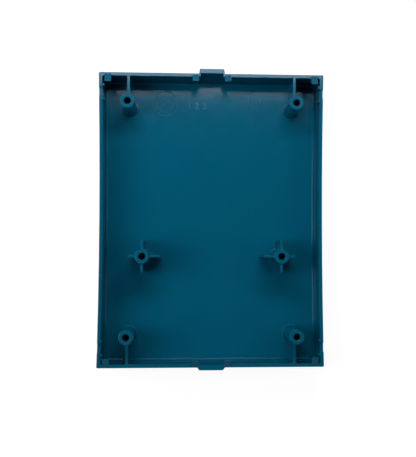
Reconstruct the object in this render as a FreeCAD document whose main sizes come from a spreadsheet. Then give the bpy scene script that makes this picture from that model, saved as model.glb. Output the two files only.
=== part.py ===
# Two-part plastic junction box, opened: the shallow back tray lies open side up, and the deeper
# front cover lies beside it, open side up, with its screws, cable glands and terminal block.
# +Z is up, +Y runs to the tray's wide-tab end, and the origin is the centre of the tray's back face.

import FreeCAD, Part
import math
import os
import Sketcher

# Driving dimensions in millimetres
SIZES = {
    # Shell of both halves
    "box_width": 100.0,
    "box_length": 130.0,
    "wall": 1.5,
    "floor_thickness": 2.0,
    "tray_depth": 17.0,
    "cover_depth": 26.0,
    "side_bow": 0.8,
    "corner_radius": 0.5,
    "inner_radius": 1.0,
    "rim_gap": 0.2,
    "lay_gap": 50.0,
    "cut_over": 1.0,
    # Screw bosses of the tray
    "boss_inset_x": 13.1,
    "boss_inset_y": 13.9,
    "boss_diameter": 6.4,
    "boss_rise": 8.2,
    "boss_flare": 0.45,
    "boss_edge": 0.3,
    "pilot_diameter": 3.1,
    "pilot_depth": 20.0,
    "corner_rib": 1.25,
    "carrier_spacing": 60.6,
    "carrier_offset": 16.2,
    "cross_rib": 1.0,
    "cross_out": 5.9,
    "cross_in": 7.8,
    "cross_along": 7.0,
    "cross_drop": 1.0,
    # End tabs, locating pegs and side catches of the tray
    "tab_width_top": 11.4,
    "tab_width_low": 12.2,
    "tab_rise_top": 2.1,
    "tab_rise_low": 1.2,
    "tab_taper_top": 0.3,
    "tab_taper_low": 0.9,
    "recess_width": 10.2,
    "recess_top": 1.6,
    "recess_low": 0.6,
    "peg_width": 2.8,
    "peg_place": 5.8,
    "peg_lip": 0.7,
    "peg_reach": 3.6,
    "peg_rise": 1.6,
    "peg_flat": 0.4,
    "peg_nose": 1.0,
    "peg_foot": 5.0,
    "corner_peg": 5.5,
    "corner_reach": 4.3,
    "catch_place": 8.6,
    "catch_dip": 1.2,
    "catch_length": 4.0,
    "catch_rib": 1.0,
    "catch_proud": 0.8,
    "catch_height": 6.0,
    "catch_step": 0.3,
    "catch_gap": 5.2,
    # Pillars, tongues and stand-offs of the cover
    "pillar_diameter": 9.0,
    "well_diameter": 6.6,
    "well_depth": 11.5,
    "screw_hole": 3.4,
    "tongue_length": 4.0,
    "tongue_thickness": 1.2,
    "tongue_bite": 0.3,
    "tongue_clearance": 0.4,
    "standoff_diameter": 7.0,
    "standoff_height": 5.0,
    # Screws, each thread a plain core
    "screw_core": 2.5,
    "screw_chamfer": 0.4,
    "closing_travel": 8.5,
    "closing_tip_margin": 0.2,
    "closing_head_diameter": 5.8,
    "closing_head_height": 2.4,
    "fixing_seat": 10.0,
    "fixing_floor": 1.0,
    "fixing_hole": 3.0,
    "fixing_head_diameter": 5.6,
    "fixing_head_height": 2.2,
    "fixing_head_clearance": 0.3,
    "clamp_length": 4.3,
    "clamp_travel": 2.5,
    "clamp_head_diameter": 4.2,
    "clamp_head_height": 1.8,
    "slot_width": 0.8,
    "slot_depth": 1.0,
    "slot_land": 0.6,
    # Cable glands, their threads a plain core too
    "gland_below_rim": 13.0,
    "gland_core": 11.5,
    "gland_clearance": 0.45,
    "gland_flats": 15.0,
    "gland_flange": 5.0,
    "gland_collar": 7.0,
    "gland_tail": 8.0,
    "gland_bore": 7.0,
    "gland_seat": 9.6,
    "washer_diameter": 15.0,
    "washer_thickness": 1.0,
    "lock_nut_thickness": 4.0,
    "gland_nut_length": 12.0,
    "gland_nut_gap": 1.5,
    "gland_dome_radius": 12.2,
    "gland_mouth": 7.4,
    "seal_bore": 6.0,
    "seal_length": 7.5,
    "running_clearance": 0.1,
    # Terminal block
    "block_place": 12.0,
    "block_pitch": 10.0,
    "block_end": 3.0,
    "block_depth": 20.0,
    "block_height": 16.0,
    "insert_size": 6.0,
    "insert_length": 15.0,
    "insert_base": 4.0,
    "insert_clearance": 0.2,
    "wire_bore": 3.8,
    "clamp_spacing": 8.0,
    "well_bore": 4.8,
    "parting_width": 1.2,
    "parting_depth": 2.0,
}
WAYS = 4

# Ring on which a sketch's corners start, clear of both axes, before the sheet moves them
RING_CENTRE = 20.0
RING_RADIUS = 10.0

doc = FreeCAD.newDocument("JunctionBox")
sheet = doc.addObject("Spreadsheet::Sheet", "Sizes")
for row, (alias, value) in enumerate(SIZES.items(), start=1):
    sheet.set(f"A{row}", alias)
    sheet.set(f"B{row}", str(value))
    sheet.setAlias(f"B{row}", alias)
doc.recompute()

# Levels and places that several pieces share, as sheet expressions
HALF_WIDTH = "Sizes.box_width / 2"
HALF_LENGTH = "Sizes.box_length / 2"
MID_FLOOR = "Sizes.floor_thickness / 2"
TRAY_RIM = "(Sizes.floor_thickness + Sizes.tray_depth)"
COVER_RIM = "(Sizes.floor_thickness + Sizes.cover_depth)"
BOSS_TOP = f"({TRAY_RIM} + Sizes.boss_rise)"
PILLAR_TOP = f"({COVER_RIM} - Sizes.boss_rise - Sizes.rim_gap)"
COVER_X = "(Sizes.box_width + Sizes.lay_gap)"
BOSS_X = f"({HALF_WIDTH} - Sizes.boss_inset_x)"
BOSS_Y = f"({HALF_LENGTH} - Sizes.boss_inset_y)"
GLAND_Z = f"({COVER_RIM} - Sizes.gland_below_rim)"
BLOCK_BASE = "(Sizes.floor_thickness + Sizes.standoff_height)"
BLOCK_TOP = f"({BLOCK_BASE} + Sizes.block_height)"
FIXING_SEAT = f"({BLOCK_BASE} + Sizes.fixing_seat)"
CATCH_Y = f"({HALF_LENGTH} - Sizes.catch_place)"
CATCH_FACE = (f"({HALF_WIDTH} - Sizes.wall - Sizes.side_bow"
              f" * (1 - ({CATCH_Y} / ({HALF_LENGTH})) ^ 2))")

UP = FreeCAD.Rotation()
ALONG_Y = FreeCAD.Rotation(FreeCAD.Vector(1, 0, 0), -90)
UPSIDE_DOWN = FreeCAD.Rotation(FreeCAD.Vector(1, 0, 0), 180)


# Shared shapes, all bound to the sheet


def place(item, x, y, z, turn=UP):
    item.Placement = FreeCAD.Placement(FreeCAD.Vector(), turn)
    for key, expression in (("x", x), ("y", y), ("z", z)):
        item.setExpression(f"Placement.Base.{key}", expression)
    return item


def box(name, x, y, z, length, width, height):
    item = doc.addObject("Part::Box", name)
    item.setExpression("Length", length)
    item.setExpression("Width", width)
    item.setExpression("Height", height)
    return place(item, x, y, z)


def centred_box(name, x, y, z, length, width, height):
    return box(name, f"{x} - ({length}) / 2", f"{y} - ({width}) / 2", z, length, width, height)


def rod(name, x, y, z, diameter, height, turn=UP):
    item = doc.addObject("Part::Cylinder", name)
    item.setExpression("Radius", f"({diameter}) / 2")
    item.setExpression("Height", height)
    return place(item, x, y, z, turn)


def hexagon(name, x, y, z, flats, height, turn=UP):
    item = doc.addObject("Part::Prism", name)
    item.Polygon = 6
    item.setExpression("Circumradius", f"({flats}) / sqrt(3)")
    item.setExpression("Height", height)
    return place(item, x, y, z, turn)


def fuse(name, pieces):
    item = doc.addObject("Part::MultiFuse", name)
    item.Shapes = pieces
    return item


def cut(name, base, tools):
    item = doc.addObject("Part::Cut", name)
    item.Base = base
    item.Tool = tools[0] if len(tools) == 1 else fuse(f"{name}_tools", tools)
    return item


def mirror(name, source, normal):
    item = doc.addObject("Part::Mirroring", name)
    item.Source = source
    item.Normal = normal
    return item


def on_both_ends(name, source):
    return [source, mirror(f"{name}_low", source, FreeCAD.Vector(0, 1, 0))]


def on_both_sides(name, sources):
    copies = [mirror(f"{name}_left_{i}", item, FreeCAD.Vector(1, 0, 0)) for i, item in enumerate(sources)]
    return sources + copies


def round_edges(name, source, radius_name, chosen):
    doc.recompute()
    radius = float(sheet.get(radius_name))
    item = doc.addObject("Part::Fillet", name)
    item.Base = source
    item.Edges = [(i, radius, radius) for i, edge in enumerate(source.Shape.Edges, 1) if chosen(edge)]
    return item


def outline(body, name, plane, points, lift="0"):
    """Closed sketch with straight sides, each corner tied to the sheet, lifted along the plane's normal."""
    sketch = body.newObject("Sketcher::SketchObject", name)
    support = [item for item in body.Origin.OriginFeatures if item.Role == plane][0]
    sketch.AttachmentSupport = (support, [""])
    sketch.MapMode = "FlatFace"
    sketch.setExpression("AttachmentOffset.Base.z", lift)
    turns = [2 * math.pi * i / len(points) for i in range(len(points))]
    corners = [FreeCAD.Vector(RING_CENTRE + RING_RADIUS * math.cos(turn),
                              RING_CENTRE + RING_RADIUS * math.sin(turn), 0) for turn in turns]
    for i, corner in enumerate(corners):
        sketch.addGeometry(Part.LineSegment(corner, corners[(i + 1) % len(corners)]))
    for i in range(len(corners)):
        sketch.addConstraint(Sketcher.Constraint("Coincident", i, 2, (i + 1) % len(corners), 1))
    for i, (corner, point) in enumerate(zip(corners, points)):
        for kind, start, axis, expression in (("DistanceX", corner.x, -2, point[0]),
                                              ("DistanceY", corner.y, -1, point[1])):
            if expression == "0":
                sketch.addConstraint(Sketcher.Constraint("PointOnObject", i, 1, axis))
            else:
                index = sketch.addConstraint(Sketcher.Constraint(kind, -1, 1, i, 1, start))
                sketch.setExpression(f"Constraints[{index}]", expression)
    return sketch


def new_body(name):
    body = doc.addObject("PartDesign::Body", name)
    body.Label = name
    return body


def pad(name, plane, points, height, lift="0"):
    """Straight-sided block raised from one outline."""
    body = new_body(name)
    block = body.newObject("PartDesign::Pad", f"{name}_pad")
    block.Profile = outline(body, f"{name}_outline", plane, points, lift)
    block.setExpression("Length", height)
    return body


def turned(name, points):
    """Round piece about Z, from half of its section as (radius, height) corners."""
    body = new_body(name)
    turning = body.newObject("PartDesign::Revolution", f"{name}_turning")
    sketch = outline(body, f"{name}_section", "XZ_Plane", points)
    turning.Profile = sketch
    turning.ReferenceAxis = (sketch, ["V_Axis"])
    turning.Angle = 360
    return body


# Shell of one half: floor and four walls, the long ones bowed slightly inwards


def bowed_block(name, inset, bottom, height):
    """Block with the shell's plan, its walls moved inwards by inset."""
    block = centred_box(f"{name}_box", "0", "0", bottom, f"(Sizes.box_width - 2 * {inset})",
                        f"(Sizes.box_length - 2 * {inset})", height)
    bow_radius = "((Sizes.box_length ^ 2 / 4 + Sizes.side_bow ^ 2) / (2 * Sizes.side_bow))"
    bow_x = f"({HALF_WIDTH} - Sizes.side_bow + {bow_radius})"
    bows = [rod(f"{name}_bow_{i}", f"{side} * {bow_x}", "0", f"{bottom} - Sizes.cut_over",
                f"(2 * ({bow_radius} + {inset}))", f"({height} + 2 * Sizes.cut_over)")
            for i, side in enumerate(("-1", "1"))]
    return cut(f"{name}_plan", block, bows)


def upright(edge):
    return abs(edge.tangentAt(edge.FirstParameter).z) > 0.9


def lowest(edge, level):
    return abs(edge.BoundBox.ZMax - level) < 1e-6 and abs(edge.BoundBox.ZMin - level) < 1e-6


def shell(name, depth):
    floor = float(sheet.get("floor_thickness"))
    outer = bowed_block(f"{name}_outer", "0", "0", f"(Sizes.floor_thickness + {depth})")
    outer = round_edges(f"{name}_edges", outer, "corner_radius",
                        lambda edge: upright(edge) or lowest(edge, 0.0))
    inner = bowed_block(f"{name}_inner", "Sizes.wall", "Sizes.floor_thickness", f"({depth} + Sizes.cut_over)")
    inner = round_edges(f"{name}_nooks", inner, "inner_radius",
                        lambda edge: upright(edge) or lowest(edge, floor))
    return outer, inner


# Back tray: the moulding seen in the photograph


def boss(name, x, y):
    """Screw boss from the floor to its top, flared where it meets the floor."""
    post = rod(f"{name}_post", x, y, MID_FLOOR, "Sizes.boss_diameter", f"({BOSS_TOP} - {MID_FLOOR})")
    collar = rod(f"{name}_collar", x, y, MID_FLOOR, "(Sizes.boss_diameter + 2 * Sizes.boss_flare)",
                 f"({MID_FLOOR} + Sizes.boss_flare)")
    groove = doc.addObject("Part::Torus", f"{name}_groove")
    groove.setExpression("Radius1", "Sizes.boss_diameter / 2 + Sizes.boss_flare")
    groove.setExpression("Radius2", "Sizes.boss_flare")
    place(groove, x, y, "Sizes.floor_thickness + Sizes.boss_flare")
    return [post, cut(f"{name}_flare", collar, [groove])]


def peg(name, x, reach):
    """Locating peg on the end wall's rim, its top sloping down to the outside, bracketed off the wall."""
    face = f"({HALF_LENGTH} - {reach})"
    points = [
        (f"{HALF_LENGTH} - Sizes.peg_lip", TRAY_RIM),
        (f"{face} + Sizes.peg_flat", f"{TRAY_RIM} + Sizes.peg_rise"),
        (face, f"{TRAY_RIM} + Sizes.peg_rise"),
        (face, f"{TRAY_RIM} + Sizes.peg_rise - Sizes.peg_nose"),
        (f"{HALF_LENGTH} - Sizes.wall", f"{TRAY_RIM} - Sizes.peg_foot"),
        (f"{HALF_LENGTH} - Sizes.peg_lip", f"{TRAY_RIM} - Sizes.peg_foot"),
    ]
    return pad(name, "YZ_Plane", points, "Sizes.peg_width", x)


def end_tab(name, tab_width, rise, taper, low_end):
    """Tab that swells outwards from the middle of one end wall."""
    y = f"({HALF_LENGTH} - Sizes.wall / 2)"
    tip = f"({HALF_LENGTH} + {rise})"
    half = f"{tab_width} / 2"
    points = [
        (f"{tab_width} - {half}", y),
        (f"{tab_width} + {half}", y),
        (f"{tab_width} + {half}", HALF_LENGTH),
        (f"{tab_width} + {half} - {taper}", tip),
        (f"{tab_width} - {half} + {taper}", tip),
        (f"{tab_width} - {half}", HALF_LENGTH),
    ]
    tab = pad(name, "XY_Plane", points, TRAY_RIM)
    tab.setExpression("Placement.Base.x", f"-{tab_width}")
    return mirror(f"{name}_at_end", tab, FreeCAD.Vector(0, 1, 0)) if low_end else tab


def end_recess(name, depth, low_end):
    """Pocket behind a tab for the cover's tongue, deepest at the rim and running out at the floor."""
    face = f"({HALF_LENGTH} - Sizes.wall)"
    points = [
        (f"{face} - Sizes.cut_over", "Sizes.floor_thickness + Sizes.inner_radius"),
        (face, "Sizes.floor_thickness + Sizes.inner_radius"),
        (f"{face} + {depth}", TRAY_RIM),
        (f"{face} + {depth}", f"{TRAY_RIM} + Sizes.cut_over"),
        (f"{face} - Sizes.cut_over", f"{TRAY_RIM} + Sizes.cut_over"),
    ]
    recess = pad(name, "YZ_Plane", points, "Sizes.recess_width", "-Sizes.recess_width / 2")
    return mirror(f"{name}_at_end", recess, FreeCAD.Vector(0, 1, 0)) if low_end else recess


def make_tray():
    outer, inner = shell("tray", "Sizes.tray_depth")
    corners = [(f"{sx} * {BOSS_X}", f"{sy} * {BOSS_Y}", sy)
               for sx in ("-1", "1") for sy in ("-1", "1")]
    carriers = [(f"{sx} * Sizes.carrier_spacing / 2", "(0 - Sizes.carrier_offset)", sx)
                for sx in ("-1", "1")]
    solids = []
    pilots = []
    for i, (x, y, side) in enumerate(corners):
        solids += boss(f"boss_{i}", x, y)
        rib_length = "(Sizes.boss_inset_y - Sizes.wall / 2)"
        solids.append(centred_box(f"corner_rib_{i}", x, f"({y} + {side} * {rib_length} / 2)",
                                  MID_FLOOR, "Sizes.corner_rib", rib_length,
                                  f"({TRAY_RIM} - {MID_FLOOR})"))
    for i, (x, y, side) in enumerate(carriers):
        solids += boss(f"carrier_boss_{i}", x, y)
        rib_height = f"({BOSS_TOP} - Sizes.cross_drop - {MID_FLOOR})"
        solids.append(centred_box(f"cross_rib_{i}_across",
                                  f"({x} + {side} * (Sizes.cross_out - Sizes.cross_in) / 2)", y,
                                  MID_FLOOR, "(Sizes.cross_out + Sizes.cross_in)",
                                  "Sizes.cross_rib", rib_height))
        solids.append(centred_box(f"cross_rib_{i}_along", x, y, MID_FLOOR,
                                  "Sizes.cross_rib", "2 * Sizes.cross_along", rib_height))
    for i, (x, y, _) in enumerate(corners + carriers):
        pilots.append(rod(f"pilot_{i}", x, y, f"{BOSS_TOP} - Sizes.pilot_depth", "Sizes.pilot_diameter",
                          "(Sizes.pilot_depth + Sizes.cut_over)"))
    solids.append(end_tab("tab_top", "Sizes.tab_width_top", "Sizes.tab_rise_top", "Sizes.tab_taper_top",
                          False))
    solids.append(end_tab("tab_low", "Sizes.tab_width_low", "Sizes.tab_rise_low", "Sizes.tab_taper_low",
                          True))
    pegs = on_both_ends("peg", peg("peg_right", "Sizes.peg_place", "Sizes.peg_reach"))
    pegs += on_both_ends("corner_peg", peg("corner_peg_right", f"{HALF_WIDTH} - Sizes.corner_peg",
                                           "Sizes.corner_reach"))
    solids += on_both_sides("pegs", pegs)
    catch_ribs = []
    for i, side in enumerate(("-1", "1")):
        y = f"({CATCH_Y} + {side} * (Sizes.catch_gap + Sizes.catch_rib) / 2)"
        rib = box(f"catch_rib_{i}", f"{CATCH_FACE} - Sizes.catch_proud", f"{y} - Sizes.catch_rib / 2",
                  f"{TRAY_RIM} - Sizes.catch_height", "(Sizes.catch_proud + Sizes.wall / 2)",
                  "Sizes.catch_rib", "Sizes.catch_height - Sizes.catch_step")
        catch_ribs += on_both_ends(f"catch_rib_{i}", rib)
    solids += on_both_sides("catch_ribs", catch_ribs)
    dip = centred_box("catch_dip_cut", f"({HALF_WIDTH})", CATCH_Y, f"{TRAY_RIM} - Sizes.catch_dip",
                      "4 * Sizes.wall", "Sizes.catch_length", "Sizes.catch_dip + Sizes.cut_over")
    dips = on_both_sides("catch_dips", on_both_ends("catch_dip", dip))
    recesses = [end_recess("recess_top_cut", "Sizes.recess_top", False),
                end_recess("recess_low_cut", "Sizes.recess_low", True)]
    hollow = cut("tray_hollow", outer, [inner])
    tray = cut("tray_raw", fuse("tray_solids", [hollow] + solids), pilots + dips + recesses)
    doc.recompute()
    top = tray.Shape.BoundBox.ZMax
    radius = float(sheet.get("boss_diameter")) / 2
    tray = round_edges("back_tray", tray, "boss_edge",
                       lambda edge: lowest(edge, top) and abs(edge.BoundBox.XLength - 2 * radius) < 1e-3)
    tray.Label = "back_tray"
    return tray


# Front cover: deeper half with screw pillars, tongues, gland holes and stand-offs


def make_cover():
    outer, inner = shell("cover", "Sizes.cover_depth")
    solids = []
    holes = []
    pillars = [(f"{sx} * {BOSS_X}", f"{sy} * {BOSS_Y}")
               for sx in ("-1", "1") for sy in ("-1", "1")]
    for i, (x, y) in enumerate(pillars):
        solids.append(rod(f"pillar_{i}", x, y, MID_FLOOR, "Sizes.pillar_diameter",
                          f"({PILLAR_TOP} - {MID_FLOOR})"))
        holes.append(rod(f"well_{i}", x, y, "-Sizes.cut_over", "Sizes.well_diameter",
                         "(Sizes.well_depth + Sizes.cut_over)"))
        holes.append(rod(f"screw_way_{i}", x, y, "0", "Sizes.screw_hole",
                         f"({PILLAR_TOP} + Sizes.cut_over)"))
    for i, x in enumerate(standoffs()):
        solids.append(rod(f"standoff_{i}", x, "Sizes.block_place", MID_FLOOR, "Sizes.standoff_diameter",
                          f"({BLOCK_BASE} - {MID_FLOOR})"))
        holes.append(rod(f"standoff_hole_{i}", x, "Sizes.block_place", "Sizes.fixing_floor / 2",
                         "Sizes.fixing_hole", BLOCK_BASE))
    hole_size = "(Sizes.gland_core + 2 * Sizes.gland_clearance)"
    gland_hole = rod("gland_hole", "0", f"{HALF_LENGTH} - 2 * Sizes.wall", GLAND_Z, hole_size,
                     "4 * Sizes.wall", ALONG_Y)
    holes += on_both_ends("gland_hole", gland_hole)
    end_tongue = box("end_tongue", "(Sizes.tongue_clearance - Sizes.recess_width / 2)",
                     f"{HALF_LENGTH} - Sizes.wall - Sizes.tongue_thickness",
                     f"({COVER_RIM} - Sizes.tongue_length)",
                     "(Sizes.recess_width - 2 * Sizes.tongue_clearance)",
                     "(Sizes.tongue_thickness + Sizes.tongue_bite)", "2 * Sizes.tongue_length")
    solids += on_both_ends("end_tongue", end_tongue)
    side_tongue = centred_box("side_tongue", f"({CATCH_FACE} - Sizes.tongue_clearance"
                              " - Sizes.tongue_thickness / 2)", CATCH_Y,
                              f"({COVER_RIM} - 2 * Sizes.tongue_length)", "Sizes.tongue_thickness",
                              "(Sizes.catch_gap - 2 * Sizes.tongue_clearance)", "3 * Sizes.tongue_length")
    side_root = centred_box("side_tongue_root", f"({CATCH_FACE})", CATCH_Y,
                            f"({COVER_RIM} - 2 * Sizes.tongue_length)", "Sizes.wall",
                            "(Sizes.catch_gap - 2 * Sizes.tongue_clearance)",
                            "(2 * Sizes.tongue_length - Sizes.rim_gap)")
    side = fuse("side_tongue_whole", [side_tongue, side_root])
    solids += on_both_sides("side_tongues", on_both_ends("side_tongue", side))
    reliefs = []
    for key, x in (("peg", "Sizes.peg_place"), ("corner", f"{HALF_WIDTH} - Sizes.corner_peg")):
        relief = box(f"{key}_relief", f"{x} - Sizes.tongue_clearance",
                     f"{HALF_LENGTH} - 2 * Sizes.wall", f"{COVER_RIM} - Sizes.peg_rise - Sizes.rim_gap",
                     "(Sizes.peg_width + 2 * Sizes.tongue_clearance)",
                     "(2 * Sizes.wall - Sizes.peg_lip + Sizes.running_clearance)",
                     "Sizes.peg_rise + Sizes.cut_over")
        reliefs += on_both_ends(f"{key}_relief", relief)
    holes += on_both_sides("reliefs", reliefs)
    hollow = cut("cover_hollow", outer, [inner])
    cover = cut("front_cover", fuse("cover_solids", [hollow] + solids), holes)
    cover.setExpression("Placement.Base.x", COVER_X)
    cover.Label = "front_cover"
    return cover


def standoffs():
    return ("(0 - Sizes.block_pitch)", "Sizes.block_pitch")


# Screws, each turned about Z with its head below the bearing face, which lies at height 0


def screw(name, head_diameter, head_height, length, slots):
    body = turned(name, [
        ("0", f"-({head_height})"),
        (f"{head_diameter} / 2", f"-({head_height})"),
        (f"{head_diameter} / 2", "0"),
        ("Sizes.screw_core / 2", "0"),
        ("Sizes.screw_core / 2", f"{length} - Sizes.screw_chamfer"),
        ("Sizes.screw_core / 2 - Sizes.screw_chamfer", length),
        ("0", length),
    ])
    doc.recompute()
    arm = f"({head_diameter} / 2 - Sizes.slot_land)"
    for i in range(slots):
        half_x, half_y = ("Sizes.slot_width / 2", arm) if i else (arm, "Sizes.slot_width / 2")
        pocket = body.newObject("PartDesign::Pocket", f"{name}_slot_{i}")
        pocket.Profile = outline(body, f"{name}_slot_{i}_outline", "XY_Plane",
                                 [(f"-({half_x})", f"-({half_y})"), (half_x, f"-({half_y})"),
                                  (half_x, half_y), (f"-({half_x})", half_y)], f"-({head_height})")
        pocket.Reversed = True
        pocket.setExpression("Length", "Sizes.slot_depth")
    return body


def make_closing_screws():
    reach = f"({PILLAR_TOP} - Sizes.well_depth)"
    length = f"({reach} + Sizes.closing_travel - Sizes.closing_tip_margin)"
    spots = [(sx, sy) for sx in ("-1", "1") for sy in ("-1", "1")]
    for i, (sx, sy) in enumerate(spots, start=1):
        item = screw(f"closing_screw_{i}", "Sizes.closing_head_diameter", "Sizes.closing_head_height",
                     length, 2)
        place(item, f"{COVER_X} + {sx} * {BOSS_X}", f"{sy} * {BOSS_Y}",
              "Sizes.well_depth - Sizes.closing_travel")
        yield item


# Cable glands, one in each end wall of the cover, built about Z and laid along Y


def gland_pieces(number, turn, side):
    """Body, washer, lock nut, seal and dome nut of one gland; side is the end of the cover, as 1 or -1."""
    outside = f"({HALF_LENGTH})"
    thread_hole = "(Sizes.gland_core + 2 * Sizes.running_clearance)"

    def spot(item, distance):
        return place(item, COVER_X, f"{side} * ({distance})", GLAND_Z, turn)

    start = f"({outside} - Sizes.wall - Sizes.gland_tail)"
    seat = f"({outside} + Sizes.washer_thickness)"
    collar_end = f"({seat} + Sizes.gland_flange + Sizes.gland_collar)"
    tail = rod(f"gland_{number}_thread", "0", "0", "0", "Sizes.gland_core", f"({collar_end} - {start})")
    flange = hexagon(f"gland_{number}_flange", "0", "0", f"({seat} - {start})", "Sizes.gland_flats",
                     "Sizes.gland_flange")
    bore = rod(f"gland_{number}_bore", "0", "0", "-Sizes.cut_over", "Sizes.gland_bore",
               f"({collar_end} - {start} + 2 * Sizes.cut_over)")
    seal_seat = rod(f"gland_{number}_seat", "0", "0", f"({collar_end} - {start} - Sizes.seal_length)",
                    "Sizes.gland_seat", "(Sizes.seal_length + Sizes.cut_over)")
    body = cut(f"gland_body_{number}", fuse(f"gland_{number}_solid", [tail, flange]), [bore, seal_seat])
    spot(body, start)
    washer = cut(f"gland_washer_{number}",
                 rod(f"washer_{number}_disc", "0", "0", "0", "Sizes.washer_diameter", "Sizes.washer_thickness"),
                 [rod(f"washer_{number}_hole", "0", "0", "-Sizes.cut_over", thread_hole,
                      "(Sizes.washer_thickness + 2 * Sizes.cut_over)")])
    spot(washer, outside)
    lock_nut = cut(f"gland_lock_nut_{number}",
                   hexagon(f"lock_nut_{number}_hex", "0", "0", "0", "Sizes.gland_flats",
                           "Sizes.lock_nut_thickness"),
                   [rod(f"lock_nut_{number}_hole", "0", "0", "-Sizes.cut_over", thread_hole,
                        "(Sizes.lock_nut_thickness + 2 * Sizes.cut_over)")])
    spot(lock_nut, f"{outside} - Sizes.wall - Sizes.lock_nut_thickness")
    seal = cut(f"gland_seal_{number}",
               rod(f"seal_{number}_plug", "0", "0", "0", "(Sizes.gland_seat - 2 * Sizes.running_clearance)",
                   "Sizes.seal_length"),
               [rod(f"seal_{number}_hole", "0", "0", "-Sizes.cut_over", "Sizes.seal_bore",
                    "(Sizes.seal_length + 2 * Sizes.cut_over)")])
    spot(seal, f"{collar_end} - Sizes.seal_length")
    thread_depth = "(Sizes.gland_collar - Sizes.gland_nut_gap + Sizes.running_clearance)"
    nut_hex = hexagon(f"nut_{number}_hex", "0", "0", "0", "Sizes.gland_flats", "Sizes.gland_nut_length")
    dome = doc.addObject("Part::Sphere", f"nut_{number}_dome")
    dome.setExpression("Radius", "Sizes.gland_dome_radius")
    place(dome, "0", "0", "0")
    nut_solid = doc.addObject("Part::MultiCommon", f"nut_{number}_solid")
    nut_solid.Shapes = [nut_hex, dome]
    nut = cut(f"gland_nut_{number}", nut_solid,
              [rod(f"nut_{number}_thread", "0", "0", "-Sizes.cut_over", thread_hole,
                   f"({thread_depth} + Sizes.cut_over)"),
               rod(f"nut_{number}_mouth", "0", "0", "-Sizes.cut_over", "Sizes.gland_mouth",
                   "(Sizes.gland_nut_length + 2 * Sizes.cut_over)")])
    spot(nut, f"{seat} + Sizes.gland_flange + Sizes.gland_nut_gap")
    return [body, washer, lock_nut, seal, nut]


# Terminal block: housing on the cover's stand-offs, brass inserts, clamp screws and fixing screws


def way_x(number):
    return f"(({number} - {(WAYS - 1) / 2}) * Sizes.block_pitch)"


def make_terminals():
    length = f"({WAYS} * Sizes.block_pitch + 2 * Sizes.block_end)"
    y = "Sizes.block_place"
    insert_base = f"({BLOCK_BASE} + Sizes.insert_base)"
    insert_top = f"({insert_base} + Sizes.insert_size)"
    channel = "(Sizes.insert_size + 2 * Sizes.insert_clearance)"
    block = centred_box("housing_block", "0", y, BLOCK_BASE, length, "Sizes.block_depth",
                        "Sizes.block_height")
    housing_cuts = []
    inserts = []
    screws = []
    for number in range(WAYS):
        x = way_x(number)
        housing_cuts.append(centred_box(f"channel_{number}", x, y,
                                        f"({insert_base} - Sizes.insert_clearance)", channel,
                                        "(Sizes.block_depth + 2 * Sizes.cut_over)", channel))
        bar = centred_box(f"insert_{number}_bar", x, y, insert_base, "Sizes.insert_size",
                          "Sizes.insert_length", "Sizes.insert_size")
        tube = rod(f"insert_{number}_bore", x, f"({y} - Sizes.block_depth)",
                   f"{insert_base} + Sizes.insert_size / 2", "Sizes.wire_bore", "2 * Sizes.block_depth",
                   ALONG_Y)
        taps = []
        for key, side in (("front", "-1"), ("back", "1")):
            screw_y = f"({y} + {side} * Sizes.clamp_spacing / 2)"
            housing_cuts.append(rod(f"driver_well_{number}_{key}", x, screw_y, insert_top,
                                    "Sizes.well_bore", "Sizes.block_height"))
            taps.append(rod(f"tap_{number}_{key}", x, screw_y, f"{insert_base} + Sizes.insert_size / 2",
                            "(Sizes.screw_core + 2 * Sizes.running_clearance)", "Sizes.insert_size"))
            item = screw(f"clamp_screw_{number + 1}_{key}", "Sizes.clamp_head_diameter",
                         "Sizes.clamp_head_height", "Sizes.clamp_length", 1)
            place(item, f"{COVER_X} + {x}", screw_y,
                  f"{insert_top} + Sizes.clamp_travel + Sizes.rim_gap", UPSIDE_DOWN)
            screws.append(item)
        inserts.append(cut(f"insert_{number}", bar, [tube] + taps))
    for i, x in enumerate(standoffs()):
        housing_cuts.append(rod(f"fixing_way_{i}", x, y, BLOCK_BASE, "Sizes.fixing_hole",
                                "Sizes.block_height"))
        housing_cuts.append(rod(f"fixing_head_way_{i}", x, y, FIXING_SEAT,
                                "(Sizes.fixing_head_diameter + 2 * Sizes.fixing_head_clearance)",
                                "Sizes.block_height"))
    for i in range(1, WAYS):
        housing_cuts.append(centred_box(f"parting_{i}", f"(({i} - {WAYS / 2}) * Sizes.block_pitch)", y,
                                        f"{BLOCK_TOP} - Sizes.parting_depth", "Sizes.parting_width",
                                        "(Sizes.block_depth + 2 * Sizes.cut_over)",
                                        "(Sizes.parting_depth + Sizes.cut_over)"))
    housing = cut("terminal_housing", block, housing_cuts)
    brass = fuse("terminal_inserts", inserts)
    fixings = []
    for i, x in enumerate(standoffs()):
        item = screw(f"fixing_screw_{i}", "Sizes.fixing_head_diameter", "Sizes.fixing_head_height",
                     f"({FIXING_SEAT} - Sizes.fixing_floor)", 2)
        fixings.append(place(item, x, y, FIXING_SEAT, UPSIDE_DOWN))
    fixing_pair = fuse("terminal_fixing_screws", fixings)
    for item in (housing, brass, fixing_pair):
        item.setExpression("Placement.Base.x", COVER_X)
    return [housing, brass, fixing_pair] + screws


nodes = [make_tray(), make_cover()]
nodes += make_closing_screws()
nodes += gland_pieces(1, ALONG_Y, "1")
nodes += gland_pieces(2, FreeCAD.Rotation(FreeCAD.Vector(1, 0, 0), 90), "-1")
nodes += make_terminals()
doc.recompute()

for item in doc.Objects:
    if "Invalid" in item.State or "Error" in item.State:
        raise RuntimeError(f"{item.Name} did not recompute: {item.State}")
for node in nodes:
    if node.Shape.isNull() or not node.Shape.isValid():
        raise RuntimeError(f"{node.Label} has no valid shape")

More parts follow.
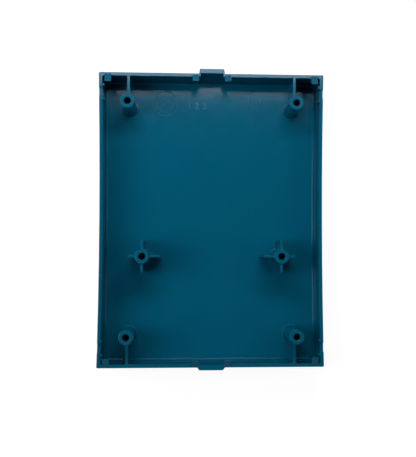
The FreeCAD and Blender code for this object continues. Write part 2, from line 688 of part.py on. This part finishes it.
os.makedirs("parts", exist_ok=True)
for node in nodes:
    node.Shape.exportStep(f"parts/{node.Label}.step")
    print(node.Label, len(node.Shape.Solids), round(node.Shape.Volume, 1), node.Shape.BoundBox)
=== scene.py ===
# Looks of a two-part plastic junction box, opened: the shallow back tray as photographed from above,
# and beside it, past the picture's edge, its deeper cover with screws, cable glands and terminal block.

import math

import bpy
from mathutils import Matrix, Vector


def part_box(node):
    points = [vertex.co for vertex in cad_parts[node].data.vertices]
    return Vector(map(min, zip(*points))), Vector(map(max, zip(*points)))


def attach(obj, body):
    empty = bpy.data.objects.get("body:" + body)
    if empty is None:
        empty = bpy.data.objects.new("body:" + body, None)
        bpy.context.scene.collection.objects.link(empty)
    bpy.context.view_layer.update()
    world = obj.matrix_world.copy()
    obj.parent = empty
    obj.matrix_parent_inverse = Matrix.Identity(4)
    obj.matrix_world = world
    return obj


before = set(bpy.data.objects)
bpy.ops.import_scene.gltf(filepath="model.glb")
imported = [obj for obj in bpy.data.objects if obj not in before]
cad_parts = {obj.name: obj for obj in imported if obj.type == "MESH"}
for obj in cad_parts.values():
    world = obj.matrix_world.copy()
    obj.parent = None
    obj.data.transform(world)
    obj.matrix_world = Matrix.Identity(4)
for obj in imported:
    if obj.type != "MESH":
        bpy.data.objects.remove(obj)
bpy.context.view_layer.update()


# Back tray
# One injection moulding in dark teal ABS with a satin surface, straight from the mould: floor, four thin
# walls, six screw bosses, ribs, end tabs and locating pegs. Every edge has the small radius of its mould.

TRAY_FLOOR = 0.002


def add(tree, kind, settings=(), inputs=()):
    """One node with its settings and its inputs, where an input may be another node's output."""
    item = tree.nodes.new(kind)
    for key, value in dict(settings).items():
        setattr(item, key, value)
    for key, value in dict(inputs).items():
        if isinstance(value, bpy.types.NodeSocket):
            tree.links.new(value, item.inputs[key])
        else:
            item.inputs[key].default_value = value
    return item


def effect_group(name, takes, gives):
    """Empty shader node group with named inputs, each with its usual value, and named outputs."""
    tree = bpy.data.node_groups.new(name, "ShaderNodeTree")
    for key, kind, value in takes:
        socket = tree.interface.new_socket(key, in_out="INPUT", socket_type=f"NodeSocket{kind}")
        socket.default_value = value
    for key, kind in gives:
        tree.interface.new_socket(key, in_out="OUTPUT", socket_type=f"NodeSocket{kind}")
    return tree, tree.nodes.new("NodeGroupInput").outputs, tree.nodes.new("NodeGroupOutput").inputs


def math_node(tree, operation, a, b=0.0):
    return add(tree, "ShaderNodeMath", {"operation": operation}, {0: a, 1: b}).outputs[0]


def spread(tree, value, low, high, to_low, to_high):
    limits = {"Value": value, "From Min": low, "From Max": high, "To Min": to_low, "To Max": to_high}
    return add(tree, "ShaderNodeMapRange", {"clamp": True}, limits).outputs[0]


def noise(tree, point, scale, detail=2.0, stretch=(1.0, 1.0, 1.0)):
    """Noise in the piece's own metres, finer along the axes whose stretch is larger."""
    moved = add(tree, "ShaderNodeMapping", {}, {"Vector": point, "Scale": stretch}).outputs[0]
    settings = {"Vector": moved, "Scale": scale, "Detail": detail}
    return add(tree, "ShaderNodeTexNoise", {}, settings).outputs[0]


def make_moulded_surface():
    """Flow clouds, fine mottling, a satin grain and faint draw lines of a moulded plastic face."""
    tree, takes, gives = effect_group(
        "moulded_surface",
        [("Color", "Color", (0.5, 0.5, 0.5, 1)), ("Cloud", "Float", 0.1), ("Roughness", "Float", 0.4),
         ("Grain", "Float", 1.0)],
        [("Color", "Color"), ("Roughness", "Float"), ("Height", "Float")])
    point = add(tree, "ShaderNodeTexCoord").outputs["Object"]
    clouds = noise(tree, point, 16.0, 3.0, (1.0, 0.45, 1.0))
    mottle = noise(tree, point, 170.0, 2.0)
    grain = noise(tree, point, 2600.0, 1.0)
    lines = noise(tree, point, 60.0, 2.0, (9.0, 0.35, 0.35))
    cloud_shade = math_node(tree, "MULTIPLY", math_node(tree, "SUBTRACT", clouds, 0.5), 1.6)
    mottle_shade = math_node(tree, "MULTIPLY", math_node(tree, "SUBTRACT", mottle, 0.5), 0.30)
    shade = math_node(tree, "ADD", cloud_shade, mottle_shade)
    factor = math_node(tree, "ADD", math_node(tree, "MULTIPLY", shade, takes["Cloud"]), 1.0)
    tree.links.new(add(tree, "ShaderNodeVectorMath", {"operation": "SCALE"},
                       {0: takes["Color"], "Scale": factor}).outputs[0], gives["Color"])
    uneven = math_node(tree, "ADD", spread(tree, mottle, 0.3, 0.7, -0.02, 0.02),
                       spread(tree, lines, 0.35, 0.65, -0.015, 0.015))
    tree.links.new(math_node(tree, "ADD", takes["Roughness"], uneven), gives["Roughness"])
    height = math_node(tree, "ADD", math_node(tree, "MULTIPLY", grain, takes["Grain"]),
                       math_node(tree, "MULTIPLY", mottle, 1.5))
    tree.links.new(height, gives["Height"])
    return tree


def make_rounded_edges():
    """Rounded normal for sharp moulded or turned edges, and a mask of those edges."""
    tree, takes, gives = effect_group("rounded_edges", [("Radius", "Float", 0.0003)],
                                      [("Normal", "Vector"), ("Edge", "Float")])
    soft = add(tree, "ShaderNodeBevel", {"samples": 6}, {"Radius": takes["Radius"]}).outputs[0]
    flat = add(tree, "ShaderNodeNewGeometry").outputs["True Normal"]
    match = add(tree, "ShaderNodeVectorMath", {"operation": "DOT_PRODUCT"},
                {0: soft, 1: flat}).outputs["Value"]
    tree.links.new(soft, gives["Normal"])
    tree.links.new(spread(tree, match, 0.99, 0.8, 0.0, 1.0), gives["Edge"])
    return tree


moulded_surface = make_moulded_surface()
rounded_edges = make_rounded_edges()


def moulded_plastic(name, color, cloud, roughness, grain, edge_radius, edge_highlight_color, bump, specular=0.5):
    """Material of a moulded piece, its edges rounded, with a painted highlight that makes them paler than
    its faces.
    """
    item = bpy.data.materials.new(name)
    item.use_nodes = True
    tree = item.node_tree
    shader = tree.nodes["Principled BSDF"]
    surface = add(tree, "ShaderNodeGroup", {"node_tree": moulded_surface},
                  {"Color": (*color, 1), "Cloud": cloud, "Roughness": roughness, "Grain": grain})
    edges = add(tree, "ShaderNodeGroup", {"node_tree": rounded_edges}, {"Radius": edge_radius})
    # Painted highlight: the edge mask mixes the colour halfway towards a paler one, for light caught on
    # rounded edges.
    highlighted_edges = add(tree, "ShaderNodeMix", {"data_type": "RGBA"},
                {"Factor": math_node(tree, "MULTIPLY", edges.outputs["Edge"], 0.5),
                 "A": surface.outputs["Color"], "B": (*edge_highlight_color, 1)})
    tree.links.new(highlighted_edges.outputs["Result"], shader.inputs["Base Color"])
    tree.links.new(surface.outputs["Roughness"], shader.inputs["Roughness"])
    relief = add(tree, "ShaderNodeBump", {}, {"Strength": 0.6, "Distance": bump,
                                              "Height": surface.outputs["Height"],
                                              "Normal": edges.outputs["Normal"]})
    tree.links.new(relief.outputs[0], shader.inputs["Normal"])
    shader.inputs["Specular IOR Level"].default_value = specular
    return item


# The second colour is the paler painted highlight of the rounded edges.
teal_abs = moulded_plastic("teal_abs", (0.0006, 0.094, 0.168), 0.15, 0.13, 1.0, 0.0003,
                           (0.004, 0.125, 0.205), 0.000002, 0.11)


def dress(node, material):
    """Gives a CAD piece its finished material."""
    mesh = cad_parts[node].data
    mesh.materials.clear()
    mesh.materials.append(material)


dress("back_tray", teal_abs)


# Tray marks
# Low marks cut in the mould, so that they stand up from the tray's floor in the same plastic: a date dial,
# a smaller dial, three plain numbers and two round ejector marks.

DIAL_SPOT, DIAL_RADIUS = (-0.0209, 0.0540), 0.0058
SMALL_SPOT, SMALL_RADIUS = (0.0212, 0.0557), 0.0036
NUMBERS_SPOT, NUMBERS_HEIGHT = (-0.0064, 0.0530), 0.0033
EJECTOR_SPOTS = ((-0.0094, -0.0579), (-0.0142, -0.0602))
EJECTOR_RADIUS = 0.0007
MARK_LINE = 0.00020
BARB_SHARE = 0.45
LETTER_RISE = 0.00014
CAPITAL_SHARE = 0.73


def shape_tree(name, takes):
    """Empty geometry tree with named inputs for a shape's sizes and its material."""
    tree = bpy.data.node_groups.new(name, "GeometryNodeTree")
    tree.is_modifier = True
    for key, kind in takes + [("Material", "Material")]:
        tree.interface.new_socket(key, in_out="INPUT", socket_type=f"NodeSocket{kind}")
    tree.interface.new_socket("Geometry", in_out="OUTPUT", socket_type="NodeSocketGeometry")
    return tree, tree.nodes.new("NodeGroupInput").outputs, tree.nodes.new("NodeGroupOutput").inputs


def close_tree(tree, takes, gives, shapes):
    """Joins the shapes, makes copies real, gives them the material and shades them smooth."""
    joined = add(tree, "GeometryNodeJoinGeometry")
    for shape in shapes:
        tree.links.new(shape, joined.inputs[0])
    real = add(tree, "GeometryNodeRealizeInstances", {}, {0: joined.outputs[0]})
    smooth = add(tree, "GeometryNodeSetShadeSmooth", {},
                 {"Geometry": real.outputs[0], "Shade Smooth": True})
    dressed = add(tree, "GeometryNodeSetMaterial", {}, {"Geometry": smooth.outputs[0],
                                                        "Material": takes["Material"]})
    tree.links.new(dressed.outputs[0], gives["Geometry"])
    return tree


def grow(name, tree, sizes, material, turn):
    """Plain mesh that a geometry tree makes with these sizes, turned and set in its place."""
    piece = bpy.data.objects.new(name, bpy.data.meshes.new(name))
    bpy.context.scene.collection.objects.link(piece)
    maker = piece.modifiers.new("shape", "NODES")
    maker.node_group = tree
    wanted = dict(sizes, Material=material)
    for socket in tree.interface.items_tree:
        if socket.in_out == "INPUT":
            maker[socket.identifier] = wanted[socket.name]
    graph = bpy.context.evaluated_depsgraph_get()
    mesh = bpy.data.meshes.new_from_object(piece.evaluated_get(graph), depsgraph=graph)
    piece.modifiers.remove(maker)
    mesh.transform(turn)
    piece.data = mesh
    return piece


def ridge(tree, curve, width):
    """Half-sunk round ridge along a curve."""
    profile = add(tree, "GeometryNodeCurvePrimitiveCircle", {}, {"Resolution": 8, "Radius": width})
    return add(tree, "GeometryNodeCurveToMesh", {}, {"Curve": curve, "Profile Curve": profile.outputs[0],
                                                     "Fill Caps": True}).outputs[0]


def ring(tree, radius):
    size = {"Resolution": 64, "Radius": radius}
    return add(tree, "GeometryNodeCurvePrimitiveCircle", {}, size).outputs[0]


def straight(tree, start, end):
    return add(tree, "GeometryNodeCurvePrimitiveLine", {}, {"Start": start, "End": end}).outputs[0]


def point_at(tree, x, y):
    return add(tree, "ShaderNodeCombineXYZ", {}, {"X": x, "Y": y}).outputs[0]


def make_mould_dial():
    """Outer ring with ticks inside it, and an inner ring round an arrow."""
    tree, takes, gives = shape_tree("mould_dial", [("Radius", "Float"), ("Line", "Float"), ("Ticks", "Int"),
                                                   ("Tick Share", "Float"), ("Inner Share", "Float"),
                                                   ("Arrow Share", "Float")])
    radius = takes["Radius"]
    inner = math_node(tree, "MULTIPLY", radius, takes["Tick Share"])
    tick_line = straight(tree, point_at(tree, inner, 0.0), point_at(tree, radius, 0.0))
    tick = ridge(tree, tick_line, takes["Line"])
    centres = add(tree, "GeometryNodePoints", {}, {"Count": takes["Ticks"]}).outputs[0]
    index = add(tree, "GeometryNodeInputIndex").outputs[0]
    step = math_node(tree, "DIVIDE", 2 * math.pi, takes["Ticks"])
    spin = add(tree, "ShaderNodeCombineXYZ", {}, {"Z": math_node(tree, "MULTIPLY", index, step)}).outputs[0]
    ticks = add(tree, "GeometryNodeInstanceOnPoints", {}, {"Points": centres, "Instance": tick,
                                                           "Rotation": spin}).outputs[0]
    reach = math_node(tree, "MULTIPLY", radius, takes["Arrow Share"])
    back = math_node(tree, "MULTIPLY", reach, -1.0)
    barb = math_node(tree, "MULTIPLY", reach, BARB_SHARE)
    low_barb = math_node(tree, "MULTIPLY", barb, -1.0)
    tip = point_at(tree, 0.0, reach)
    arrow = [straight(tree, point_at(tree, 0.0, back), tip),
             straight(tree, point_at(tree, barb, barb), tip),
             straight(tree, point_at(tree, low_barb, barb), tip)]
    inner_ring = ring(tree, math_node(tree, "MULTIPLY", radius, takes["Inner Share"]))
    shapes = [ridge(tree, ring(tree, radius), takes["Line"]), ridge(tree, inner_ring, takes["Line"]), ticks]
    shapes += [ridge(tree, line, takes["Line"]) for line in arrow]
    return close_tree(tree, takes, gives, shapes)


def make_ejector_mark():
    tree, takes, gives = shape_tree("ejector_mark", [("Radius", "Float"), ("Line", "Float")])
    return close_tree(tree, takes, gives, [ridge(tree, ring(tree, takes["Radius"]), takes["Line"])])


def tray_spot(spot, turn=0.0):
    return Matrix.Translation((*spot, TRAY_FLOOR)) @ Matrix.Rotation(turn, 4, "Z")


def on_body(piece, body):
    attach(piece, body)


def raised_text(name, words, height, rise, bevel, material, turn):
    """Raised letters as a plain mesh, centred on their place."""
    font = bpy.data.curves.new(name, "FONT")
    font.body = words
    font.size = height / CAPITAL_SHARE
    font.extrude = rise
    font.bevel_depth = bevel
    font.bevel_resolution = 1
    font.align_x = "CENTER"
    font.align_y = "CENTER"
    font.resolution_u = 6
    maker = bpy.data.objects.new(f"{name}_maker", font)
    bpy.context.scene.collection.objects.link(maker)
    graph = bpy.context.evaluated_depsgraph_get()
    mesh = bpy.data.meshes.new_from_object(maker.evaluated_get(graph), depsgraph=graph)
    bpy.data.objects.remove(maker)
    mesh.transform(turn)
    mesh.materials.clear()
    mesh.materials.append(material)
    piece = bpy.data.objects.new(name, mesh)
    bpy.context.scene.collection.objects.link(piece)
    return piece


# Rougher copy of the teal plastic for the dials and numbers, painted paler than the floor as a painted
# highlight on their ridges.
eroded_abs_painted_highlight = moulded_plastic("eroded_abs_painted_highlight", (0.008, 0.125, 0.200), 0.10, 0.34, 2.0, 0.0001,
                             (0.020, 0.160, 0.240), 0.000006, 0.15)
mould_dial = make_mould_dial()
ejector_mark = make_ejector_mark()
on_body(grow("date_dial", mould_dial, {"Radius": DIAL_RADIUS, "Line": MARK_LINE, "Ticks": 12,
                                       "Tick Share": 0.82, "Inner Share": 0.66, "Arrow Share": 0.46},
             eroded_abs_painted_highlight, tray_spot(DIAL_SPOT, math.radians(-35))), "tray")
on_body(grow("small_dial", mould_dial, {"Radius": SMALL_RADIUS, "Line": MARK_LINE * 0.8, "Ticks": 4,
                                        "Tick Share": 0.82, "Inner Share": 0.60, "Arrow Share": 0.36},
             eroded_abs_painted_highlight, tray_spot(SMALL_SPOT)), "tray")
for number, spot in enumerate(EJECTOR_SPOTS, start=1):
    on_body(grow(f"ejector_mark_{number}", ejector_mark, {"Radius": EJECTOR_RADIUS, "Line": MARK_LINE / 4},
                 teal_abs, tray_spot(spot)), "tray")
on_body(raised_text("cavity_numbers", "1 2 3", NUMBERS_HEIGHT, LETTER_RISE, LETTER_RISE / 2, eroded_abs_painted_highlight,
                    tray_spot(NUMBERS_SPOT)), "tray")


# Front cover
# The deeper half, moulded from the same teal ABS as the tray, with its screw pillars, tongues and
# stand-offs in one piece.

dress("front_cover", teal_abs)


# Closing screws
# Four M3 machine screws of zinc-plated steel, cross-slotted, that hold the halves together. Their rolled
# threads run the length of the shank.

SCREW_CORE = 0.00125
SCREW_CREST = 0.00145
SCREW_PITCH = 0.0005
THREAD_RUN_OUT = 0.0006
SCREW_HEAD = 0.0024
TOOTH_SHARE = 0.42


def make_worn_metal():
    """Fine turning or drawing streaks, dull spots and small dents of a plated or bare metal face."""
    tree, takes, gives = effect_group(
        "worn_metal",
        [("Color", "Color", (0.6, 0.6, 0.6, 1)), ("Roughness", "Float", 0.3),
         ("Streaks", "Vector", (1, 1, 1)), ("Spots", "Float", 0.1)],
        [("Color", "Color"), ("Roughness", "Float"), ("Height", "Float")])
    point = add(tree, "ShaderNodeTexCoord").outputs["Object"]
    stretched = add(tree, "ShaderNodeVectorMath", {"operation": "MULTIPLY"},
                    {0: point, 1: takes["Streaks"]})
    streaks = noise(tree, stretched.outputs[0], 900.0, 2.0)
    spots = noise(tree, point, 700.0, 3.0)
    shade = math_node(tree, "MULTIPLY", math_node(tree, "SUBTRACT", spots, 0.5), takes["Spots"])
    factor = math_node(tree, "ADD", shade, 1.0)
    tree.links.new(add(tree, "ShaderNodeVectorMath", {"operation": "SCALE"},
                       {0: takes["Color"], "Scale": factor}).outputs[0], gives["Color"])
    uneven = math_node(tree, "ADD", spread(tree, streaks, 0.3, 0.7, -0.07, 0.07),
                       spread(tree, spots, 0.35, 0.7, -0.03, 0.08))
    tree.links.new(math_node(tree, "ADD", takes["Roughness"], uneven), gives["Roughness"])
    tree.links.new(math_node(tree, "ADD", streaks, spots), gives["Height"])
    return tree


worn_metal = make_worn_metal()


def metal(name, color, roughness, streaks, spots, edge_radius, bump):
    """Material of a metal piece, with its streaks along the axes that stretch least."""
    item = bpy.data.materials.new(name)
    item.use_nodes = True
    tree = item.node_tree
    shader = tree.nodes["Principled BSDF"]
    shader.inputs["Metallic"].default_value = 1.0
    surface = add(tree, "ShaderNodeGroup", {"node_tree": worn_metal},
                  {"Color": (*color, 1), "Roughness": roughness, "Streaks": streaks, "Spots": spots})
    edges = add(tree, "ShaderNodeGroup", {"node_tree": rounded_edges}, {"Radius": edge_radius})
    relief = add(tree, "ShaderNodeBump", {}, {"Strength": 0.5, "Distance": bump,
                                              "Height": surface.outputs["Height"],
                                              "Normal": edges.outputs["Normal"]})
    tree.links.new(surface.outputs["Color"], shader.inputs["Base Color"])
    tree.links.new(surface.outputs["Roughness"], shader.inputs["Roughness"])
    tree.links.new(relief.outputs[0], shader.inputs["Normal"])
    return item


def make_thread():
    """Spiral ridge of a screw thread about Z, from height 0 up to its length."""
    tree, takes, gives = shape_tree("thread", [("Core Radius", "Float"), ("Crest Radius", "Float"),
                                               ("Pitch", "Float"), ("Length", "Float"), ("Steps", "Int")])
    turns = math_node(tree, "DIVIDE", takes["Length"], takes["Pitch"])
    spiral = add(tree, "GeometryNodeCurveSpiral", {}, {
        "Resolution": takes["Steps"], "Rotations": turns, "Start Radius": takes["Core Radius"],
        "End Radius": takes["Core Radius"], "Height": takes["Length"]}).outputs[0]
    upright = add(tree, "GeometryNodeSetCurveNormal", {"mode": "Z_UP"}, {"Curve": spiral}).outputs[0]
    tooth = add(tree, "GeometryNodeCurvePrimitiveCircle", {}, {"Resolution": 4, "Radius": 1.0}).outputs[0]
    depth = math_node(tree, "SUBTRACT", takes["Crest Radius"], takes["Core Radius"])
    half = math_node(tree, "MULTIPLY", takes["Pitch"], TOOTH_SHARE)
    size = add(tree, "ShaderNodeCombineXYZ", {}, {"X": depth, "Y": half, "Z": 1.0}).outputs[0]
    section = add(tree, "GeometryNodeTransform", {}, {"Geometry": tooth, "Scale": size}).outputs[0]
    tooth_path = add(tree, "GeometryNodeCurveToMesh", {}, {"Curve": upright, "Profile Curve": section,
                                                           "Fill Caps": True}).outputs[0]
    return close_tree(tree, takes, gives, [tooth_path])


thread = make_thread()
zinc_steel = metal("zinc_steel", (0.62, 0.64, 0.67), 0.27, (1.0, 1.0, 6.0), 0.16, 0.00015, 0.000004)

for number in range(1, 5):
    node = f"closing_screw_{number}"
    dress(node, zinc_steel)
    low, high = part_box(node)
    start = low[2] + SCREW_HEAD + SCREW_PITCH
    spot = Matrix.Translation(((low[0] + high[0]) / 2, (low[1] + high[1]) / 2, start))
    on_body(grow(f"{node}_thread", thread,
                 {"Core Radius": SCREW_CORE, "Crest Radius": SCREW_CREST, "Pitch": SCREW_PITCH,
                  "Length": high[2] - start - THREAD_RUN_OUT, "Steps": 20},
                 zinc_steel, spot), node)


# Cable glands
# Black nylon M12 glands, one in each end wall: body and lock nut clamp the wall with a rubber washer, and
# the dome nut squeezes a rubber seal round the cable. The threads are moulded.

GLAND_CORE = 0.00575
GLAND_CREST = 0.00605
GLAND_PITCH = 0.0015
GLAND_TAIL = 0.0040

# Second colours: paler painted highlights of the rounded edges.
gland_nylon = moulded_plastic("gland_nylon", (0.022, 0.022, 0.024), 0.25, 0.46, 1.6, 0.0003,
                              (0.045, 0.045, 0.048), 0.000012, 0.45)
seal_rubber = moulded_plastic("seal_rubber", (0.012, 0.012, 0.012), 0.20, 0.72, 2.0, 0.0002,
                              (0.020, 0.020, 0.020), 0.000015, 0.35)


def gland_thread(name, node, distance, length, side):
    """Exposed stretch of a gland's thread, laid along Y from its distance on the gland's axis."""
    low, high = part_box(node)
    spot = Matrix.Translation(((low[0] + high[0]) / 2, side * distance, (low[2] + high[2]) / 2))
    laid = Matrix.Rotation(-side * math.pi / 2, 4, "X")
    sizes = {"Core Radius": GLAND_CORE, "Crest Radius": GLAND_CREST, "Pitch": GLAND_PITCH,
             "Length": length, "Steps": 48}
    on_body(grow(name, thread, sizes, gland_nylon, spot @ laid), "cover")


for number, side in ((1, 1), (2, -1)):
    for part in ("body", "lock_nut", "nut"):
        dress(f"gland_{part}_{number}", gland_nylon)
    for part in ("washer", "seal"):
        dress(f"gland_{part}_{number}", seal_rubber)
    low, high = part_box(f"gland_body_{number}")
    tail_start = min(abs(low[1]), abs(high[1]))
    gland_thread(f"gland_tail_thread_{number}", f"gland_body_{number}", tail_start + GLAND_PITCH / 3,
                 GLAND_TAIL - GLAND_PITCH / 2, side)


# Terminal block
# Four-way block of undyed nylon on the cover's stand-offs, with a brass bar in each way, two slotted clamp
# screws over each bar, raised way numbers, and two fixing screws between the ways.

WAY_COUNT = 4
WAY_PITCH = 0.010
WAY_NUMBER_HEIGHT = 0.0021
WAY_NUMBER_RISE = 0.00012
WAY_NUMBER_INSET = 0.0018

# The second colour is the paler painted highlight of the rounded edges.
terminal_nylon = moulded_plastic("terminal_nylon", (0.70, 0.675, 0.60), 0.08, 0.42, 1.2, 0.00025,
                                 (0.80, 0.78, 0.72), 0.000010, 0.45)
brass = metal("brass", (0.72, 0.50, 0.22), 0.30, (5.0, 0.6, 5.0), 0.22, 0.00015, 0.000005)
dress("terminal_housing", terminal_nylon)
dress("terminal_inserts", brass)
dress("terminal_fixing_screws", zinc_steel)
block_low, block_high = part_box("terminal_housing")
for way in range(WAY_COUNT):
    for end in ("front", "back"):
        dress(f"clamp_screw_{way + 1}_{end}", zinc_steel)
    way_x = (block_low[0] + block_high[0]) / 2 + (way - (WAY_COUNT - 1) / 2) * WAY_PITCH
    for end, edge, inward in (("front", block_low[1], 1), ("back", block_high[1], -1)):
        spot = Matrix.Translation((way_x, edge + inward * WAY_NUMBER_INSET, block_high[2]))
        on_body(raised_text(f"way_number_{way + 1}_{end}", str(way + 1), WAY_NUMBER_HEIGHT, WAY_NUMBER_RISE,
                            WAY_NUMBER_RISE / 3, terminal_nylon, spot), "cover")


# Floor and backdrop
# A plain white table top that holds the soft shadows, and a low white wall far round it. Both look white
# but throw no light of their own on the object.

WALL_RADIUS = 4.0
WALL_HEIGHT = 2.4


def white_to_the_eye(name, strength, share):
    """Plain pale surface that camera, glossy and transmission rays see as white, by its share."""
    item = bpy.data.materials.new(name)
    item.use_nodes = True
    tree = item.node_tree
    plain = tree.nodes["Principled BSDF"]
    plain.inputs["Base Color"].default_value = (0.9, 0.9, 0.9, 1)
    plain.inputs["Roughness"].default_value = 0.9
    plain.inputs["Specular IOR Level"].default_value = 0.1
    rays = add(tree, "ShaderNodeLightPath").outputs
    seen = math_node(tree, "MAXIMUM", rays["Is Camera Ray"], rays["Is Glossy Ray"])
    seen = math_node(tree, "MAXIMUM", seen, rays["Is Transmission Ray"])
    paper = add(tree, "ShaderNodeEmission", {}, {"Color": (1, 1, 1, 1), "Strength": strength})
    both = add(tree, "ShaderNodeMixShader", {}, {0: math_node(tree, "MULTIPLY", seen, share),
                                                 1: plain.outputs[0], 2: paper.outputs[0]})
    tree.links.new(both.outputs[0], tree.nodes["Material Output"].inputs["Surface"])
    return item


def stage_piece(name, corners, faces, material):
    mesh = bpy.data.meshes.new(name)
    mesh.from_pydata(corners, [], faces)
    mesh.materials.append(material)
    piece = bpy.data.objects.new(name, mesh)
    bpy.context.scene.collection.objects.link(piece)


FLOOR_LEVEL = -0.0003
stage_piece("table_top", [(x * WALL_RADIUS, y * WALL_RADIUS, FLOOR_LEVEL)
                          for x, y in ((-1, -1), (1, -1), (1, 1), (-1, 1))],
            [(0, 1, 2, 3)], white_to_the_eye("table_white", 1.15, 0.8))
WALL_SIDES = 48
wall_turns = [2 * math.pi * i / WALL_SIDES for i in range(WALL_SIDES)]
wall_corners = [(WALL_RADIUS * math.cos(turn), WALL_RADIUS * math.sin(turn), height)
                for height in (FLOOR_LEVEL, WALL_HEIGHT) for turn in wall_turns]
wall_faces = [(i + WALL_SIDES, (i + 1) % WALL_SIDES + WALL_SIDES, (i + 1) % WALL_SIDES, i)
              for i in range(WALL_SIDES)]
stage_piece("backdrop", wall_corners, wall_faces, white_to_the_eye("backdrop_white", 1.0, 1.0))


# Light
# Plain soft studio light: a broad lamp on the left, a weaker one on the right, and a small one close over
# the tray's upper end, which is why the floor is brightest there in the photograph.

world = bpy.data.worlds.new("studio")
world.use_nodes = True
world.node_tree.nodes["Background"].inputs["Color"].default_value = (1, 1, 1, 1)
world.node_tree.nodes["Background"].inputs["Strength"].default_value = 0.03
bpy.context.scene.world = world


def soft_lamp(name, place, aim, width, height, power):
    data = bpy.data.lights.new(name, "AREA")
    data.shape = "RECTANGLE"
    data.size, data.size_y, data.energy = width, height, power
    lamp = bpy.data.objects.new(name, data)
    lamp.location = place
    lamp.rotation_euler = (Vector(aim) - Vector(place)).to_track_quat("-Z", "Y").to_euler()
    lamp.visible_camera = False
    bpy.context.scene.collection.objects.link(lamp)


soft_lamp("top_lamp", (0.0, 0.112, 0.20), (0.0, 0.03, 0.0), 0.16, 0.03, 0.28)
soft_lamp("right_lamp", (0.26, 0.02, 0.34), (0.0, 0.0, 0.0), 0.30, 0.16, 0.22)
soft_lamp("left_lamp", (-0.30, 0.0, 0.35), (0.0, 0.0, 0.0), 0.20, 0.30, 0.94)


# Camera
# Straight above the tray's lower left, tilted a little towards its middle, as the photograph was taken.

FRAME_WIDTH = 416
FOCAL_PIXELS = 899.73
SHIFT_PIXELS = (-35.76, -12.53)
camera_data = bpy.data.cameras.new("camera")
camera_data.sensor_fit = "HORIZONTAL"
camera_data.sensor_width = 36.0
camera_data.lens = FOCAL_PIXELS * camera_data.sensor_width / FRAME_WIDTH
camera_data.shift_x = SHIFT_PIXELS[0] / FRAME_WIDTH
camera_data.shift_y = SHIFT_PIXELS[1] / FRAME_WIDTH
camera = bpy.data.objects.new("camera", camera_data)
camera.rotation_mode = "ZYX"
camera.location = (-0.01352, -0.01503, 0.41640)
camera.rotation_euler = (0.0420, -0.0697, 0.0046)
bpy.context.scene.collection.objects.link(camera)
bpy.context.scene.camera = camera
bpy.context.scene.view_settings.view_transform = "Standard"
